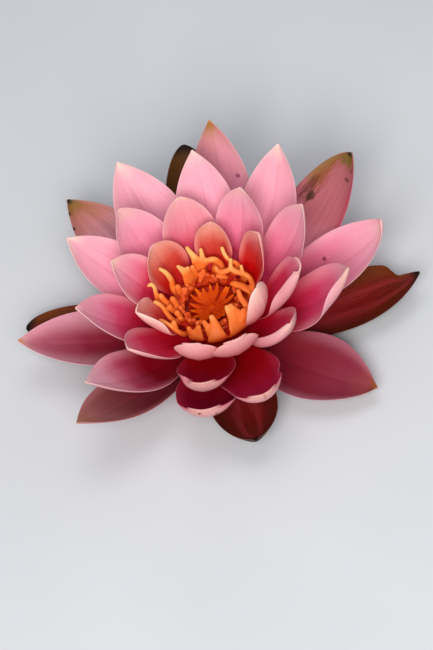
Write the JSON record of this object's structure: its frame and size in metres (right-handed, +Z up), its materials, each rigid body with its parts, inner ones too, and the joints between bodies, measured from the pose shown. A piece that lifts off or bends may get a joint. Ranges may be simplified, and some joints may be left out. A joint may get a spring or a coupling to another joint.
{
  "type": "water lily flower",
  "caption": "Open pink hardy water lily flower cut just under the head: dark sepals, whorls of pointed cupped petals, forked orange stamens round a rayed stigma.",
  "frame": {"origin": "centre of the cut face of the stem, which the flower stands on", "axes": "+Z up along the axis of the flower, from the cut face to the stigma; +X and +Y level, with the tallest back petals towards +Y"},
  "size_m": [0.1544, 0.1452, 0.0536],
  "materials": {
    "receptacle": "satin",
    "sepal": "satin",
    "outer_petal": "satin",
    "middle_petal": "satin",
    "inner_petal": "satin",
    "innermost_petal": "satin",
    "petaloid_stamen": "satin",
    "anther": "satin",
    "stigma": "satin"
  },
  "bodies": {
    "root": {"receptacle": "receptacle", "sepal_back": "sepal", "sepal_right": "sepal", "sepal_front": "sepal", "sepal_left": "sepal", "outer_petal_1": "outer_petal", "outer_petal_2": "outer_petal", "outer_petal_3": "outer_petal", "outer_petal_4": "outer_petal", "second_petal_1": "outer_petal", "second_petal_2": "outer_petal", "second_petal_3": "outer_petal", "second_petal_4": "outer_petal", "middle_petal_1": "middle_petal", "middle_petal_2": "middle_petal", "middle_petal_3": "middle_petal", "middle_petal_4": "middle_petal", "middle_petal_5": "middle_petal", "middle_petal_6": "middle_petal", "middle_petal_7": "middle_petal", "middle_petal_8": "middle_petal", "inner_petal_1": "inner_petal", "inner_petal_2": "inner_petal", "inner_petal_3": "inner_petal", "inner_petal_4": "inner_petal", "inner_petal_5": "inner_petal", "inner_petal_6": "inner_petal", "inner_petal_7": "inner_petal", "inner_petal_8": "inner_petal", "inner_petal_9": "inner_petal", "innermost_petal_1": "innermost_petal", "innermost_petal_2": "innermost_petal", "innermost_petal_3": "innermost_petal", "innermost_petal_4": "innermost_petal", "innermost_petal_5": "innermost_petal", "innermost_petal_6": "innermost_petal", "innermost_petal_7": "innermost_petal", "petaloid_stamens": "petaloid_stamen", "anthers": "anther", "stigma": "stigma"}
  },
  "joints": []
}
